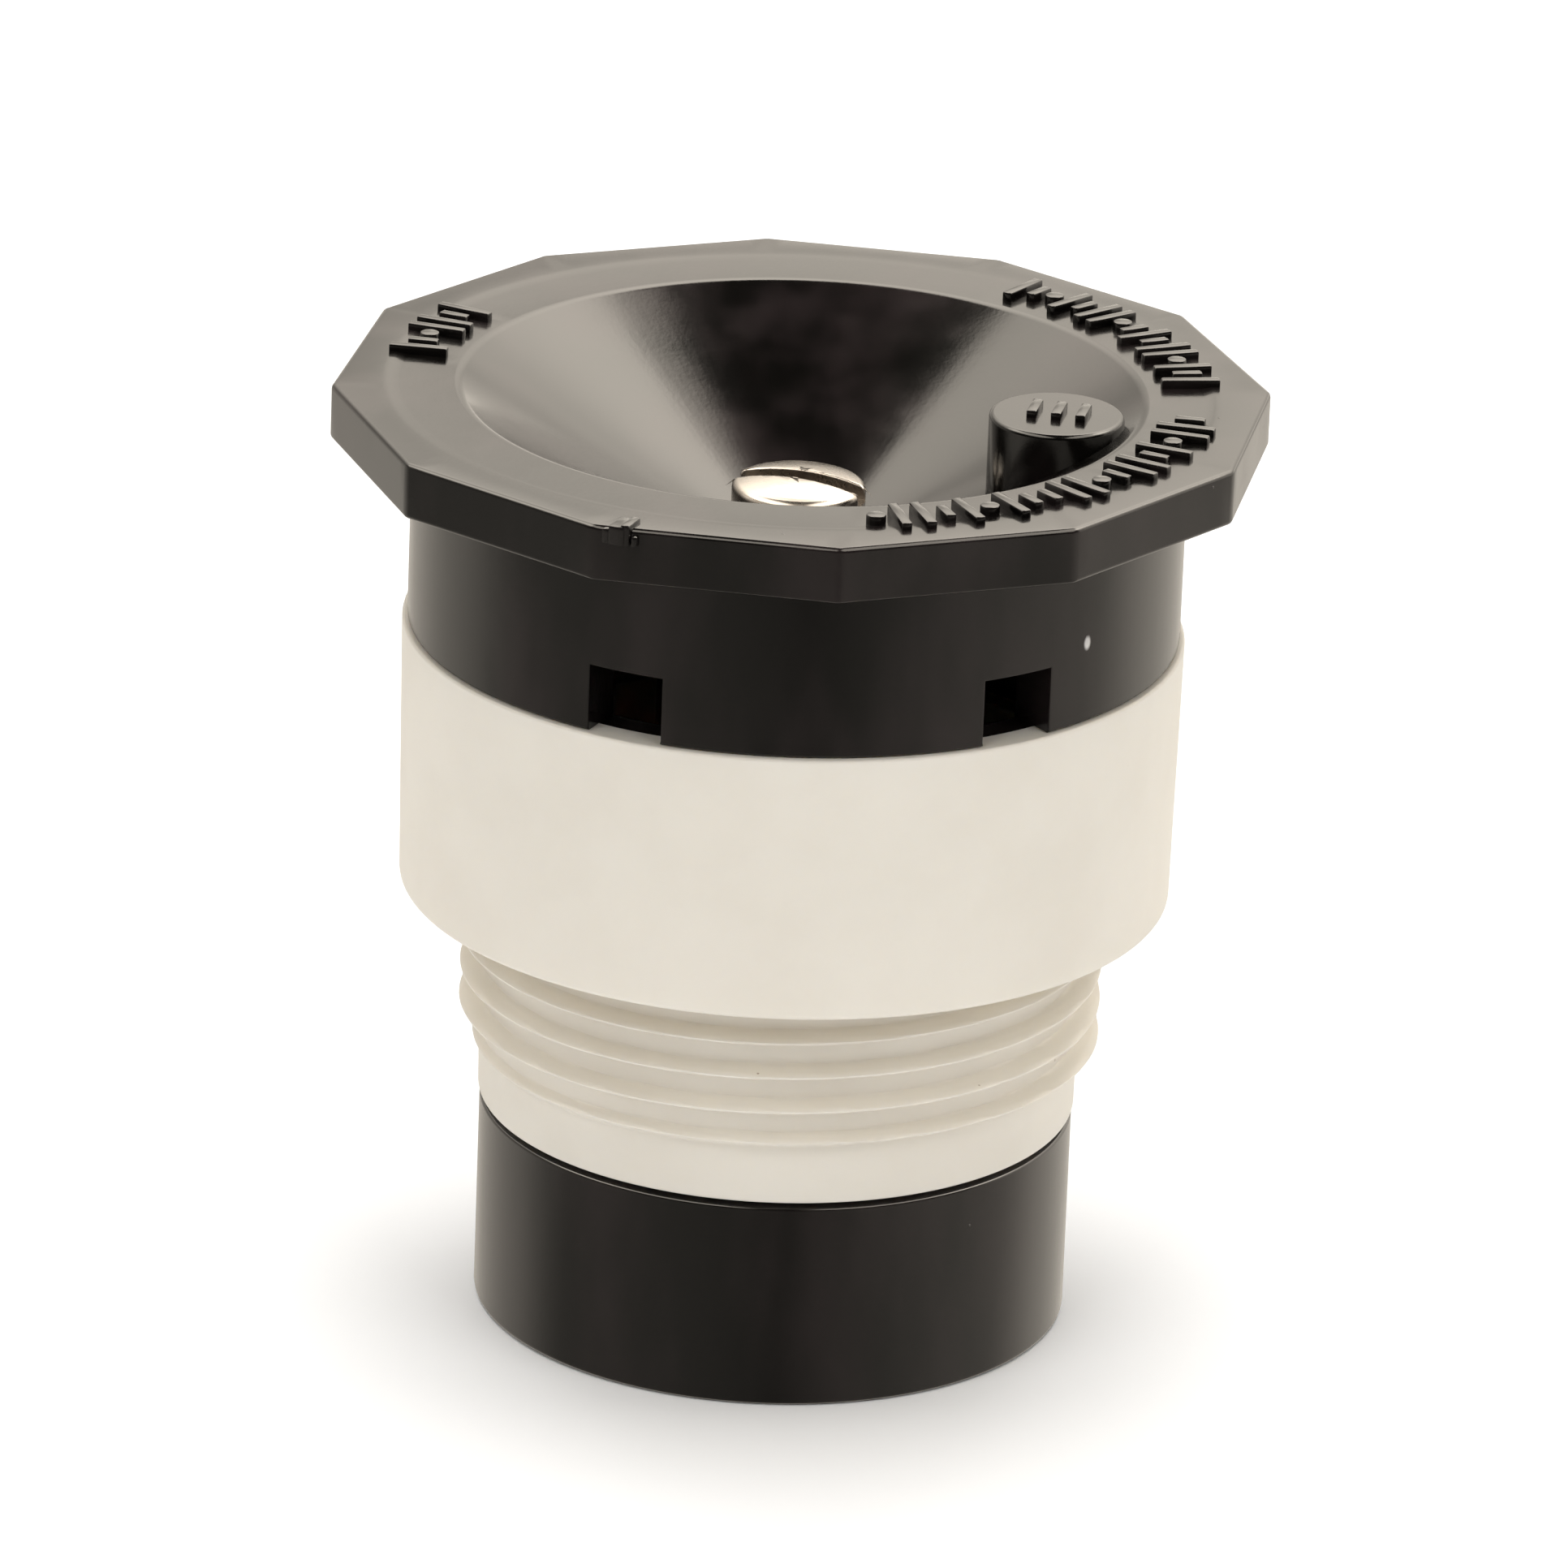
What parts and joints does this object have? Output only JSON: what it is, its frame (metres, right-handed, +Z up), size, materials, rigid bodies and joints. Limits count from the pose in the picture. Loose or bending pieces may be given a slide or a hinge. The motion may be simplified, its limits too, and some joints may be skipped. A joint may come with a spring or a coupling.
{
  "type": "irrigation spray nozzle",
  "caption": "Lawn spray nozzle for a pop-up riser: black deflector cap with a conical dish and slotted radius screw, cream threaded body, black inlet sleeve.",
  "frame": {"origin": "centre of the inlet sleeve's lower end, on the plane that the nozzle stands on", "axes": "+Z up along the nozzle's axis towards the deflector dish; -Y towards a corner of the grip flange, midway between the two front windows"},
  "size_m": [0.023, 0.023, 0.024],
  "materials": {
    "black_plastic": "moulded acetal, satin gloss",
    "cream_plastic": "moulded acetal, soft satin",
    "stainless": "bright turned steel",
    "brass": "turned",
    "seal_rubber": "matte"
  },
  "bodies": {
    "root": {"deflector_cap": "black_plastic", "nozzle_body": "cream_plastic", "inlet_sleeve": "black_plastic", "metering_seat": "brass", "screw_seal": "seal_rubber", "cap_seal": "seal_rubber", "sleeve_seal": "seal_rubber", "flow_washer": "seal_rubber", "screen_mesh": "stainless", "screen_frame": "black_plastic", "screen_ring": "stainless"},
    "throttle": {"throttle_plug": "black_plastic"},
    "screw": {"radius_screw": "stainless", "plug_clip": "stainless"}
  },
  "joints": [
    {"name": "throttle_travel", "type": "slide", "parent": "root", "child": "throttle", "axis": [0, 0, 1], "range_m": [-0.0009, 0.0009]},
    {"name": "screw_turn", "type": "hinge", "parent": "throttle", "child": "screw", "pos_m": [0, 0, 0.0152], "axis": [0, 0, 1], "range_deg": [-720, 720]}
  ],
  "couplings": [
    {"joint": "screw_turn", "follows": "throttle_travel", "rad_per_m": 13962}
  ]
}
